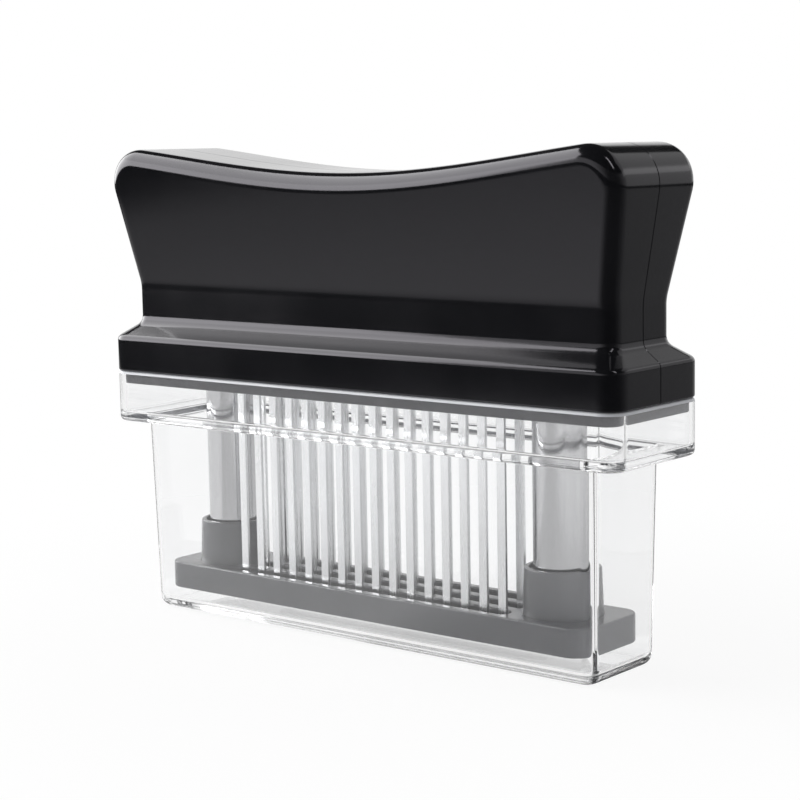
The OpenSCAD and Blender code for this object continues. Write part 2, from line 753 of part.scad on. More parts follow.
module stop_ring(s) {
    color(steel_grey)
        translate([s * column_x, 0, ring_z])
            difference() {
                cylinder(r = ring_r, h = ring_h);
                translate([0, 0, -over])
                    cylinder(r = column_r + slip, h = ring_h + 2 * over);
            }
}

module stop_ring_left() { stop_ring(-1); }
module stop_ring_right() { stop_ring(1); }

module column_screws() {
    color(steel_grey)
        for (s = [-1, 1])
            translate([s * column_x, 0, foot_z + seat_gap]) {
                cylinder(d = screw_head_d, h = screw_head_h);
                cylinder(d = screw_d, h = socket_floor + plug_h - over - seat_gap);
            }
}

storage_cover();
handle_front_shell();
handle_rear_shell();
closing_plate();
closing_plate_screws();
blade_carrier();
blade_clamp_plate();
clamp_screws();
blade_row_front();
blade_row_middle();
blade_row_rear();
guide_bush_left();
guide_bush_right();
spring_cap_left();
spring_cap_right();
spring_left();
spring_right();
foot_plate();
column_left();
column_right();
column_plug_left();
column_plug_right();
stop_ring_left();
stop_ring_right();
column_screws();
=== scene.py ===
import math

import bmesh
import bpy
from mathutils import Matrix, Vector


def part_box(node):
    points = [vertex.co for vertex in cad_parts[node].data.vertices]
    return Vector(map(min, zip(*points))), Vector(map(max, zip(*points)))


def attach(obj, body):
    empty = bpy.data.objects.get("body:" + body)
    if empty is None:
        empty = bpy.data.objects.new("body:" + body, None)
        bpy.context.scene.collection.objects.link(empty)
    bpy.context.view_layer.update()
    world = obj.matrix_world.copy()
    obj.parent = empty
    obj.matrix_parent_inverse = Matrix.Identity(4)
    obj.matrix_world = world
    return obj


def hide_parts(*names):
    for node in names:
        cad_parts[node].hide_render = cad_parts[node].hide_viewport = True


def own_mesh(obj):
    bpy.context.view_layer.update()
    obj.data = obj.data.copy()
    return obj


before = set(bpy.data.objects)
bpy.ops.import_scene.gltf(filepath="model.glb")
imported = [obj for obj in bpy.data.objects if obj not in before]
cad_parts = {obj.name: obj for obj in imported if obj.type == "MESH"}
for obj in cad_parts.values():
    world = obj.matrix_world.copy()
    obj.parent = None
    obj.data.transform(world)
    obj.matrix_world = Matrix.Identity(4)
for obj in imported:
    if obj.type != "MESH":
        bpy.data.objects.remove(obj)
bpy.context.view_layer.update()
mm = 0.001
print("stage: frame loaded")


# a node's output; each operator adds its Math node
class Wire:
    def __init__(self, finish, socket):
        self.finish = finish
        self.socket = socket

    def math(self, op, a, b):
        return self.finish.node("ShaderNodeMath", {"operation": op}, {0: a, 1: b})

    def __add__(self, o): return self.math("ADD", self, o)
    def __radd__(self, o): return self.math("ADD", o, self)
    def __sub__(self, o): return self.math("SUBTRACT", self, o)
    def __rsub__(self, o): return self.math("SUBTRACT", o, self)
    def __mul__(self, o): return self.math("MULTIPLY", self, o)
    def __rmul__(self, o): return self.math("MULTIPLY", o, self)

    def atMost(self, o): return self.math("MINIMUM", self, o)
    def atLeast(self, o): return self.math("MAXIMUM", self, o)
    def above(self, o): return self.math("GREATER_THAN", self, o)


class Finish:
    def __init__(self, name, world=False):
        self.block = (bpy.data.worlds if world else bpy.data.materials).new(name)
        self.block.use_nodes = True
        self.tree = self.block.node_tree
        self.tree.nodes.clear()

    def node(self, kind, settings=None, values=None, out=0):
        n = self.tree.nodes.new(kind)
        for key, value in (settings or {}).items():
            if key == "stops":
                ramp = n.color_ramp
                while len(ramp.elements) > 1:
                    ramp.elements.remove(ramp.elements[-1])
                for i, (at, tone) in enumerate(value):
                    e = ramp.elements[0] if i == 0 else ramp.elements.new(at)
                    e.position = at
                    e.color = (*tone, 1) if isinstance(tone, tuple) else (tone, tone, tone, 1)
            else:
                setattr(n, key, value)
        for key, value in (values or {}).items():
            if isinstance(value, Wire):
                self.tree.links.new(value.socket, n.inputs[key])
            else:
                n.inputs[key].default_value = value
        if isinstance(out, tuple):  # several outputs at once
            return [Wire(self, n.outputs[k]) for k in out]
        return Wire(self, n.outputs[out]) if len(n.outputs) else None

    def spot(self):
        return self.node("ShaderNodeTexCoord", out="Object")

    def noise(self, scale, stretch=(1, 1, 1), detail=3.0, rough=0.55):
        place = self.node("ShaderNodeMapping", {}, {"Vector": self.spot(), "Scale": stretch})
        return self.node("ShaderNodeTexNoise", {}, {
            "Vector": place, "Scale": scale, "Detail": detail, "Roughness": rough})

    def ramp(self, fac, low, high):
        return self.node("ShaderNodeValToRGB", {"stops": [(0.3, low), (0.7, high)]}, {"Fac": fac})

    # low at fromLow and high at fromHigh; smooth eases both ends
    def spread(self, fac, low, high, fromLow=0.3, fromHigh=0.7, smooth=False):
        return self.node(
            "ShaderNodeMapRange", {"interpolation_type": "SMOOTHSTEP" if smooth else "LINEAR"},
            {"Value": fac, 1: fromLow, 2: fromHigh, 3: low, 4: high})

    def split(self, vector, out=(0, 1)):
        return self.node("ShaderNodeSeparateXYZ", {}, {0: vector}, out)

    def bump(self, height, strength, distance):
        return self.node("ShaderNodeBump", {}, {
            "Height": height, "Strength": strength, "Distance": distance})

    def surface(self, values):
        return self.end(self.node("ShaderNodeBsdfPrincipled", {}, values))

    def end(self, shader):
        self.node("ShaderNodeOutputMaterial", {}, {"Surface": shader})
        return self.block


def glossBlack(dark, light, rough):
    f = Finish("glossBlackAbs")
    peel = f.noise(420, detail=2.0)
    haze = f.noise(38, detail=4.0)
    return f.surface({
        "Base Color": f.ramp(haze, dark, light),
        "Roughness": f.spread(haze, *rough),
        "IOR": 1.5,
        "Specular Tint": (0.96, 0.93, 1.0, 1),
        "Normal": f.bump(peel, 0.02, 0.0002)})


def greyPlastic(name, tone, rough):
    f = Finish(name)
    cloud = f.noise(60, detail=4.0)
    grain = f.noise(2600, detail=2.0)
    return f.surface({
        "Base Color": f.ramp(cloud, tuple(c * 0.94 for c in tone), tuple(c * 1.05 for c in tone)),
        "Roughness": f.spread(cloud, *rough),
        "IOR": 1.5,
        "Normal": f.bump(grain, 0.06, 0.00004)})


def clearPlastic(dark, light, rough):
    f = Finish("clearPolystyrene")
    film = f.noise(30, detail=4.0)
    return f.surface({
        "Base Color": f.ramp(film, dark, light),
        "Roughness": f.spread(film, *rough),
        "IOR": 1.57,
        "Transmission Weight": 1.0})


# opaque light grey satin for the cover's rounded rim in place of clear plastic: a painted highlight that
# stands in for the bright line of light along the rim
def paintedRimHighlight(dark, light, rough):
    f = Finish("paintedRimHighlight")
    film = f.noise(90, detail=3.0)
    return f.surface({
        "Base Color": f.ramp(film, dark, light),
        "Roughness": f.spread(film, *rough),
        "IOR": 1.57})


def steel(name, tone, rough, stretch=(1, 1, 1), scale=300.0):
    f = Finish(name)
    lines = f.noise(scale, stretch, detail=5.0, rough=0.7)
    wear = f.noise(45, detail=3.0)
    return f.surface({
        "Base Color": f.ramp(wear, tuple(c * 0.93 for c in tone), tone),
        "Metallic": 1.0,
        "Roughness": f.spread(lines, *rough),
        "Normal": f.bump(lines, 0.05, 0.00004)})


finishes = {  # colours, then the span of roughness
    "black": glossBlack((0.0055, 0.0057, 0.0068), (0.0075, 0.0077, 0.009), (0.10, 0.15)),
    "closing": greyPlastic("closingPlateGrey", (0.12, 0.12, 0.13), (0.32, 0.42)),
    "foot": greyPlastic("footPlateGrey", (0.16, 0.162, 0.172), (0.1, 0.17)),
    "bush": greyPlastic("bushAcetal", (0.78, 0.78, 0.75), (0.4, 0.5)),
    "clear": clearPlastic((0.985, 0.988, 0.992), (0.995, 0.996, 0.998), (0.0, 0.02)),
    # painted highlight: the rounded rim of the cover drawn as an opaque light grey band
    "rim": paintedRimHighlight((0.52, 0.53, 0.56), (0.60, 0.61, 0.64), (0.3, 0.42)),
    "column": steel("brushedTube", (0.58, 0.58, 0.59), (0.07, 0.16), (1, 1, 0.05)),
    "blade": steel("groundBlade", (0.91, 0.915, 0.925), (0.18, 0.32), (1, 1, 0.06), 500.0),
    "screw": steel("platedScrew", (0.62, 0.63, 0.65), (0.25, 0.4)),
    "spring": steel("springWire", (0.6, 0.61, 0.63), (0.25, 0.4)),
}
nodeFinish = {
    "storage_cover": "clear", "handle_front_shell": "black", "handle_rear_shell": "black",
    "closing_plate": "closing", "closing_plate_screws": "screw", "blade_carrier": "closing",
    "blade_clamp_plate": "column", "clamp_screws": "screw", "blade_row_front": "blade",
    "blade_row_middle": "blade", "blade_row_rear": "blade", "guide_bush_left": "bush",
    "guide_bush_right": "bush", "spring_cap_left": "bush", "spring_cap_right": "bush",
    "spring_left": "spring", "spring_right": "spring", "foot_plate": "foot",
    "column_left": "column", "column_right": "column", "column_plug_left": "screw",
    "column_plug_right": "screw", "stop_ring_left": "screw", "stop_ring_right": "screw",
    "column_screws": "screw"}
for node, finish in nodeFinish.items():
    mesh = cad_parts[node].data
    mesh.materials.clear()
    mesh.materials.append(finishes[finish])
print("stage: finishes made")


def shown(name, mesh):
    obj = bpy.data.objects.new(name, mesh)
    bpy.context.scene.collection.objects.link(obj)
    return obj


def settle(obj, body, node):
    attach(obj, body)
    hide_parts(node)


# the mesh with its modifiers applied
def meshOf(obj):
    bpy.context.view_layer.update()
    return bpy.data.meshes.new_from_object(obj.evaluated_get(bpy.context.evaluated_depsgraph_get()))


def smoothByAngle(obj, degrees):
    mesh = obj.data
    mesh.polygons.foreach_set("use_smooth", [True] * len(mesh.polygons))
    mesh.set_sharp_from_angle(angle=math.radians(degrees))
    even = obj.modifiers.new("even", "WEIGHTED_NORMAL")
    even.keep_sharp = True
    made = meshOf(obj)
    obj.modifiers.remove(even)
    obj.data = made
    made.name = obj.name


def finishMesh(name, bm, finish, body, node, angle=32, merge=1e-6):
    bmesh.ops.remove_doubles(bm, verts=bm.verts, dist=merge)
    bmesh.ops.recalc_face_normals(bm, faces=bm.faces)
    mesh = bpy.data.meshes.new(name)
    bm.to_mesh(mesh)
    bm.free()
    mesh.materials.append(finishes[finish])
    obj = shown(name, mesh)
    smoothByAngle(obj, angle)
    settle(obj, body, node)
    return obj


handle = {
    "shoulderInX": 4.3 * mm, "shoulderInY": 5.3 * mm, "flangeHeight": 8.5 * mm,
    "shoulderHeight": 3.4 * mm, "neckHeight": 9.4 * mm, "hornOutX": 4.4 * mm,
    "hornOutY": 4.3 * mm, "saddleHeight": 48.64 * mm, "saddleRise": 8.3 * mm, "saddleReach": 104 * mm,
    "cornerRound": 8.8 * mm, "sideFillet": 3.7 * mm, "topFillet": 3.9 * mm, "wall": 2.2 * mm,
    "flangeRadius": 4.8 * mm, "creaseSoft": 1.4 * mm, "lowerEdge": 0.5 * mm, "flangeEdge": 0.95 * mm,
    "footRound": 1.65 * mm, "straightRun": 3 * mm, "seamGap": 0.16 * mm,
    "filletSteps": 14, "sideSteps": 6, "frontSteps": 60, "cornerSteps": 8, "bendSteps": 8}


# one half of the handle: two skins lofted alike, joined at the rim and at the parting face
def handleShell(front):
    h = handle
    node = "handle_front_shell" if front else "handle_rear_shell"
    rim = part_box(node)[0].z
    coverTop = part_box("storage_cover")[1]
    halfX, halfY = coverTop.x, coverTop.y
    neckX, neckY = halfX - h["shoulderInX"], halfY - h["shoulderInY"]
    shoulderZ = rim + h["flangeHeight"]
    neckZ = shoulderZ + h["shoulderHeight"]
    creaseZ = neckZ + h["neckHeight"]
    saddleZ = rim + h["saddleHeight"]
    hornX = neckX + h["hornOutX"]
    reach, swing = h["saddleReach"], h["saddleRise"] / 2
    soft, corner = h["creaseSoft"], h["cornerRound"]

    def saddle(x): return saddleZ + swing * (1 - math.cos(math.pi * x / reach))

    def lean(x): return swing * math.pi / reach * math.sin(math.pi * x / reach)

    def across(x): return Vector((-lean(x), 1)).normalized()

    # the flare starts softly at the crease
    def bend(z):
        u = z - creaseZ
        return 0.0 if u <= -soft else u if u >= soft else (u + soft) ** 2 / (4 * soft)

    def bendSlope(z): return max(0.0, min(1.0, (z - creaseZ + soft) / (2 * soft)))

    flareHeight = saddle(hornX) - corner - creaseZ
    flareX, flareY = h["hornOutX"] / flareHeight, h["hornOutY"] / flareHeight

    # round corner that touches the flared side and the saddle
    touch = hornX - corner
    for k in range(8):
        middle = Vector((touch, saddle(touch))) - corner * across(touch)
        touch += neckX + flareX * bend(middle.y) - corner * math.sqrt(1 + flareX ** 2) - middle.x
    low = -math.atan(flareX)
    high = math.pi / 2 + math.atan(lean(touch))
    halfway = (low + high) / 2
    topOfBend = creaseZ + soft
    sideTop = middle.y + corner * math.sin(low)

    def onCorner(angle):
        way = Vector((math.cos(angle), math.sin(angle)))
        return middle + corner * way, way

    # right side of the outline up to the middle of the corner, then the top from there to the left
    ss, ks, cs, ns = h["sideSteps"], h["filletSteps"], h["cornerSteps"], h["frontSteps"]
    side = []
    for k in range(7):
        z = topOfBend + (sideTop - topOfBend) * k / 6
        angle = low * k / 6
        side.append((Vector((neckX + flareX * bend(z), z)), Vector((math.cos(angle), math.sin(angle)))))
    side += [onCorner(low + (halfway - low) * k / cs) for k in range(1, cs + 1)]
    top = [onCorner(halfway + (high - halfway) * k / cs) for k in range(cs + 1)]
    for k in range(1, ns):
        x = touch * (1 - 2 * k / ns)
        top.append((Vector((x, saddle(x))), across(x)))
    top += [(Vector((-q.x, q.y)), Vector((-v.x, v.y))) for q, v in reversed(top[:cs + 1])]
    n = len(top) - 1
    ribSteps = ss + ks
    width = 2 * ribSteps + n + 1

    # rows round the shell from the rim up, and the ribs of its roof, for a skin w inside the outer one
    def skin(w):
        def faceY(z):
            return neckY + flareY * bend(z) - w * math.sqrt(1 + (flareY * bendSlope(z)) ** 2)

        def rib(spot, way):  # from the parting face round the fillet to the edge of the front
            t = min(1.0, abs(spot.x) / touch)
            fillet = h["topFillet"] + (h["sideFillet"] - h["topFillet"]) * t * t * (3 - 2 * t)
            tilt = math.atan(flareY * way.y)
            r = fillet - w
            hub = spot - fillet * way
            core = hub - r * math.sin(tilt) * way
            hubY = faceY(core.y) - r * math.cos(tilt)
            points = []
            for k in range(ss):
                q = hub + r * way
                points.append((q.x, -hubY * k / ss, q.y))
            for k in range(ks + 1):
                a = (math.pi / 2 + tilt) * k / ks
                q = hub + r * math.cos(a) * way
                points.append((q.x, -(hubY + r * math.sin(a)), q.y))
            return points

        sideRibs = [rib(*q) for q in side]
        topRibs = [rib(*q) for q in top]
        share = [q[-1][0] / topRibs[0][-1][0] for q in topRibs]
        rows = []

        def mirrored(points): return [(-x, y, z) for x, y, z in reversed(points)]

        def flat(z, hx, hy, r):
            turns = [math.pi / 2 * k / ks for k in range(ks + 1)]
            right = [(hx, -(hy - r) * k / ss, z) for k in range(ss)]
            right += [(hx - r + r * math.cos(a), -(hy - r + r * math.sin(a)), z) for a in turns]
            rows.append(right + [(q * (hx - r), -hy, z) for q in share[1:-1]] + mirrored(right))

        hx, hy = halfX - w, halfY - w
        flangeR, neckR = h["flangeRadius"] - w, h["sideFillet"] - w
        edge = h["lowerEdge"] if w == 0 else 0.0
        for k in range(4):  # lower edge of the flange
            a = math.pi / 2 * k / 3
            d = edge * (1 - math.sin(a))
            flat(rim + edge * (1 - math.cos(a)), hx - d, hy - d, flangeR - d)

        # flange side, shoulder and foot of the neck, on one path with rounded bends
        path = [(rim + 1 * mm, 0.0), (shoulderZ - 0.55 * w, 0.0),
                (neckZ - 0.45 * w, 1.0), (neckZ + h["straightRun"], 1.0)]

        def toward(a, b, size):
            part = size / math.hypot(b[0] - a[0], (b[1] - a[1]) * h["shoulderInY"])
            return a[0] + (b[0] - a[0]) * part, a[1] + (b[1] - a[1]) * part

        for i, size in ((1, h["flangeEdge"]), (2, h["footRound"])):
            a, b, c = toward(path[i], path[i - 1], size), path[i], toward(path[i], path[i + 1], size)
            for k in range(h["bendSteps"]):
                t = k / (h["bendSteps"] - 1)
                z, q = ((1 - t) ** 2 * a[m] + 2 * t * (1 - t) * b[m] + t * t * c[m] for m in (0, 1))
                radius = flangeR + (neckR - flangeR) * q
                flat(z, hx - h["shoulderInX"] * q, hy - h["shoulderInY"] * q, radius)
        flat(creaseZ - soft - h["straightRun"], neckX - w, faceY(creaseZ - soft), neckR)
        for k in range(h["bendSteps"] + 1):
            z = creaseZ - soft + 2 * soft * k / h["bendSteps"]
            flat(z, neckX - w + flareX * bend(z), faceY(z), neckR)

        # flared faces, whose rows take up the curve of the saddle as they rise
        last = sideRibs[-1][-1][2]
        for ribNow in sideRibs[1:]:
            x, y, z = ribNow[-1]
            rise = (z - topOfBend) / (last - topOfBend)
            face = []
            for j in range(1, n):
                height = z + rise * (topRibs[j][-1][2] - last)
                face.append((share[j] * x, -faceY(height), height))
            rows.append(ribNow + face + mirrored(ribNow))
        return rows, [list(reversed(q)) for q in topRibs]

    bm = bmesh.new()
    verts = {}

    def put(key, x, y, z):
        verts[key] = bm.verts.new((x, y if front else -y, z))

    for part, w in (("o", 0.0), ("i", h["wall"])):
        rows, roof = skin(w)
        m = len(rows)
        gap = h["seamGap"] if part == "o" else 0.0  # a fine groove along the parting line
        for i, row in enumerate(rows):
            for j, (x, y, z) in enumerate(row):
                if gap and j in (0, width - 1):
                    x -= math.copysign(gap, x)
                if gap and j in (1, width - 2):
                    y = -gap
                put((part, i, j), x, y, z)
        for j in range(1, n):
            for s in range(1, ribSteps + 1):
                x, y, z = roof[j][s]
                if gap and s == ribSteps:
                    z -= gap
                if gap and s == ribSteps - 1:
                    y = -gap
                put((part, "r", s, j), x, y, z)

    # a point of the roof, whose edges are points of the top row
    def over(part, s, j):
        if s == 0:
            return part, m - 1, ribSteps + j
        if j == 0:
            return part, m - 1, ribSteps - s
        if j == n:
            return part, m - 1, ribSteps + n + s
        return part, "r", s, j

    def add(keys, flip=False):
        bm.faces.new([verts[k] for k in (reversed(keys) if flip == front else keys)])

    for part in "oi":
        flip = part == "i"
        for i in range(m - 1):
            for j in range(width - 1):
                add([(part, i, j), (part, i + 1, j), (part, i + 1, j + 1), (part, i, j + 1)], flip)
        for s in range(ribSteps):
            for j in range(n):
                corners = ((s, j), (s + 1, j), (s + 1, j + 1), (s, j + 1))
                add([over(part, *q) for q in corners], flip)
    for j in range(width - 1):  # rim that stands on the cover
        add([("o", 0, j), ("o", 0, j + 1), ("i", 0, j + 1), ("i", 0, j)])
    e = width - 1
    for i in range(m - 1):  # parting face at both ends, then along the roof
        add([("o", i, 0), ("i", i, 0), ("i", i + 1, 0), ("o", i + 1, 0)])
        add([("o", i + 1, e), ("i", i + 1, e), ("i", i, e), ("o", i, e)])
    r = ribSteps
    for j in range(n):
        add([over("o", r, j), over("i", r, j), over("i", r, j + 1), over("o", r, j + 1)])

    name = "handleFrontShell" if front else "handleRearShell"
    finishMesh(name, bm, "black", "handle", node, angle=28, merge=1e-7)


handleShell(True)
handleShell(False)
print("stage: handle built")


cover = {
    "ledgeX": 8.27 * mm, "ledgeY": 3.42 * mm, "boxHeight": 47.1 * mm, "draft": 1.05,
    "boxRadius": 3.0 * mm, "boxInner": 1.0 * mm, "boxEdge": 2.6 * mm, "boxWall": 1.4 * mm,
    "underLedge": 0.6 * mm, "wall": 1.6 * mm, "floor": 2.0 * mm, "flangeRadius": 4.8 * mm,
    "lip": 1.2 * mm, "innerEdge": 1.4 * mm, "ledgeInner": 0.8 * mm, "ledgeEdge": 0.5 * mm,
    "rimRound": 0.79 * mm, "cornerSteps": 14}


def ringPoints(z, hx, hy, r, steps):
    ring = []
    for q, (sx, sy) in enumerate(((1, 1), (-1, 1), (-1, -1), (1, -1))):
        for k in range(steps + 1):
            a = math.pi / 2 * (q + k / steps)
            ring.append((sx * (hx - r) + r * math.cos(a), sy * (hy - r) + r * math.sin(a), z))
    return ring


# sine and cosine in even steps over a quarter turn
def quarter(steps):
    for k in range(steps + 1):
        a = math.pi / 2 * k / steps
        yield math.sin(a), math.cos(a)


def clearCover():
    c = cover
    hx, hy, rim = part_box("storage_cover")[1]
    slope = math.tan(math.radians(c["draft"]))
    top, wall, flangeR = c["boxHeight"], c["wall"], c["flangeRadius"]
    levels = []

    def boxLevel(z, inset, r):
        away = (top - z) * slope + inset
        levels.append((z, hx - c["ledgeX"] - away, hy - c["ledgeY"] - away, r))

    def collarLevel(z, inset):
        levels.append((z, hx - inset, hy - inset, flangeR - inset))

    for sin, cos in quarter(6):
        d = c["boxEdge"] * (1 - sin)
        boxLevel(c["boxEdge"] * (1 - cos), d, c["boxRadius"] - 0.6 * d)
    d = c["underLedge"]
    for sin, cos in quarter(4):
        boxLevel(top - d + d * sin, -d * (1 - cos), c["boxRadius"])
    for sin, cos in quarter(6):
        collarLevel(top + c["lip"] * (1 - cos), c["lip"] * (1 - sin))
    r = c["rimRound"]
    for sin, cos in quarter(3):
        collarLevel(rim - r + r * sin, r * (1 - cos))
    for sin, cos in quarter(3):
        collarLevel(rim - r + r * cos, wall - r * (1 - sin))
    ledge = top + c["floor"]
    d = c["ledgeInner"]
    for sin, cos in quarter(4):
        collarLevel(ledge + d * (1 - sin), wall + d * (1 - cos))
    d = c["ledgeEdge"]
    for sin, cos in quarter(4):
        boxLevel(ledge - d * (1 - cos), c["boxWall"] - d * (1 - sin), c["boxInner"])
    e = c["innerEdge"]
    for cos, sin in quarter(5):
        boxLevel(c["floor"] + e * (1 - cos), c["boxWall"] + e * (1 - sin), c["boxInner"])

    points, faces = [], []
    n = 4 * (c["cornerSteps"] + 1)
    for level in levels:
        points += ringPoints(*level, c["cornerSteps"])
    for i in range(len(levels) - 1):
        for j in range(n):
            k = (j + 1) % n
            faces.append((i * n + j, i * n + k, (i + 1) * n + k, (i + 1) * n + j))
    faces.append(tuple(reversed(range(n))))
    faces.append(tuple(range(len(points) - n, len(points))))
    mesh = bpy.data.meshes.new("clearCover")
    mesh.from_pydata(points, [], faces)
    mesh.validate()
    mesh.materials.append(finishes["clear"])
    obj = shown("clearCover", mesh)
    smoothByAngle(obj, 40)
    # the rounded rim band above rim - rimRound takes the opaque light grey finish, a painted highlight
    obj.data.materials.append(finishes["rim"])
    for face in obj.data.polygons:
        face.material_index = int(face.center.z > rim - r)
    settle(obj, "cover", "storage_cover")


clearCover()
print("stage: cover built")


def roundedOutline(hx, hy, r, steps=10):
    return [(x, y) for x, y, z in ringPoints(0, hx, hy, r, steps)]


def circleOutline(x, y, r, steps=64):
    turns = [2 * math.pi * k / steps for k in range(steps)]
    return [(x + r * math.cos(a), y + r * math.sin(a)) for a in turns]


# a flat plate with bevelled edges inside its outline and round its holes
def plateInto(bm, outlines, low, high, bevel):
    curve = bpy.data.curves.new("plateOutline", "CURVE")
    curve.dimensions = "2D"
    curve.fill_mode = "BOTH"
    curve.extrude = (high - low) / 2 - bevel
    curve.bevel_depth = bevel
    curve.bevel_resolution = 2
    curve.offset = -bevel
    for outline in outlines:
        spline = curve.splines.new("POLY")
        spline.points.add(len(outline) - 1)
        for point, (x, y) in zip(spline.points, outline):
            point.co = (x, y, 0, 1)
        spline.use_cyclic_u = True
    carrier = shown("plateOutline", curve)
    mesh = meshOf(carrier)
    bpy.data.objects.remove(carrier)
    mesh.transform(Matrix.Translation((0, 0, (low + high) / 2)))
    bm.from_mesh(mesh)
    bpy.data.meshes.remove(mesh)


# rings of points joined into a skin; closed also joins the last ring to the first
def ringsInto(bm, rings, closed):
    for a, b in zip(rings, rings[1:] + rings[:1] if closed else rings[1:]):
        for k in range(len(a)):
            bm.faces.new((a[k], a[(k + 1) % len(a)], b[(k + 1) % len(a)], b[k]))


def latheInto(bm, profile, x, steps=72):
    rings = [[bm.verts.new((*p, z)) for p in circleOutline(x, 0, r, steps)] for r, z in profile]
    ringsInto(bm, rings, True)


blades = {
    "perRow": 16, "width": 2.14 * mm, "thick": 0.8 * mm, "rowPitch": 6.92 * mm,
    "edge": 0.08 * mm, "headOut": 0.7 * mm, "headHeight": 1.2 * mm,
    "slotWidth": 3.6 * mm, "slotOver": 0.5 * mm}
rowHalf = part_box("blade_row_front")[1].x - blades["headOut"]
bladePitch = 2 * (rowHalf - blades["width"] / 2) / (blades["perRow"] - 1)
columnLow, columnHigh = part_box("column_right")
columnX = (columnLow.x + columnHigh.x) / 2
columnR = (columnHigh.x - columnLow.x) / 2


# the three blade slots and the two column holes
def slotsAndBores(bore):
    halfSlot = blades["slotWidth"] / 2
    slot = roundedOutline(rowHalf + blades["slotOver"], halfSlot, halfSlot - 1e-5, 12)
    holes = [[(x, y + k * blades["rowPitch"]) for x, y in slot] for k in (-1, 0, 1)]
    return holes + [circleOutline(s * columnX, 0, columnR + bore) for s in (-1, 1)]


foot = {
    "thick": 6.55 * mm, "radius": 4.5 * mm, "edge": 0.45 * mm, "bore": 0.3 * mm, "fit": 0.05 * mm,
    "socketWall": 2.0 * mm, "taper": 0.45 * mm, "socketRoot": 0.25 * mm, "rimEdge": 0.35 * mm,
    "leadIn": 1.0 * mm, "headHole": 3.8 * mm, "screwHole": 2.1 * mm, "headDepth": 2.2 * mm,
    "socketFloor": 4.0 * mm}


def footPlate():
    f = foot
    lo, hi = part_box("foot_plate")
    top = lo.z + f["thick"]
    bm = bmesh.new()
    outlines = [roundedOutline(hi.x, hi.y, f["radius"])] + slotsAndBores(f["bore"])
    plateInto(bm, outlines, lo.z, top, f["edge"])
    rimR, e = columnR + f["socketWall"], f["rimEdge"]
    inner, lip = columnR + f["fit"], columnR + 0.45 * f["socketWall"]
    under, seat, head = lo.z + 0.02 * mm, lo.z + f["socketFloor"], lo.z + f["headDepth"]
    profile = [
        (f["headHole"], under), (rimR, under),
        (rimR + f["taper"] + f["socketRoot"], top - 0.3 * mm), (rimR + f["taper"], top + 0.5 * mm),
        (rimR + 0.05 * mm, hi.z - e), (rimR - 0.3 * e, hi.z - 0.3 * e), (rimR - e, hi.z),
        (lip + 0.2 * mm, hi.z), (lip, hi.z - 0.2 * mm), (lip - 0.1 * mm, hi.z - f["leadIn"]),
        (inner, hi.z - f["leadIn"] - 0.15 * mm), (inner, seat), (f["screwHole"], seat),
        (f["screwHole"], head), (f["headHole"], head)]
    for s in (-1, 1):
        latheInto(bm, profile, s * columnX)
    finishMesh("footPlate", bm, "foot", "guard", "foot_plate")


closing = {
    "radius": 2.9 * mm, "edge": 0.3 * mm, "bore": 0.4 * mm, "stepInX": 0.5 * mm, "stepInY": 0.7 * mm,
    "stepRadius": 2.2 * mm, "stepEdge": 0.05 * mm, "screwInX": 7.3 * mm, "screwInY": 5.6 * mm,
    "headHole": 2.7 * mm, "screwHole": 1.35 * mm}


def closingPlate():
    c = closing
    lo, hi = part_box("closing_plate")
    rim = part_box("storage_cover")[1].z
    bm = bmesh.new()

    def layer(low, high, inX, inY, radius, hole, edge):
        outlines = [roundedOutline(hi.x - inX, hi.y - inY, radius)] + slotsAndBores(c["bore"])
        for s, t in ((-1, -1), (-1, 1), (1, -1), (1, 1)):
            x, y = s * (hi.x - c["screwInX"]), t * (hi.y - c["screwInY"])
            outlines.append(circleOutline(x, y, hole, 32))
        plateInto(bm, outlines, low, high, edge)

    layer(lo.z, rim, 0, 0, c["radius"], c["headHole"], c["edge"])
    layer(rim, hi.z, c["stepInX"], c["stepInY"], c["stepRadius"], c["screwHole"], c["stepEdge"])
    finishMesh("closingPlate", bm, "closing", "handle", "closing_plate")


footPlate()
closingPlate()
print("stage: plates built")


column = {"wall": 0.8 * mm, "edge": 0.25 * mm, "steps": 96}


def guideColumn(side):
    lo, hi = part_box("column_" + side)
    r, e = columnR, column["edge"]
    inner = r - column["wall"]
    profile = [
        (inner, lo.z), (r - e, lo.z), (r, lo.z + e), (r, hi.z - e),
        (r - 0.3 * e, hi.z - 0.3 * e), (r - e, hi.z), (inner, hi.z)]
    bm = bmesh.new()
    latheInto(bm, profile, (lo.x + hi.x) / 2, column["steps"])
    finishMesh("column" + side.capitalize(), bm, "column", "guard", "column_" + side)


spring = {
    "wire": 0.9 * mm, "coils": 22, "closedRise": 1.4 * mm, "stepsPerCoil": 32, "wireSides": 10,
    "pressed": 0.636}  # share of its length when the guard is up


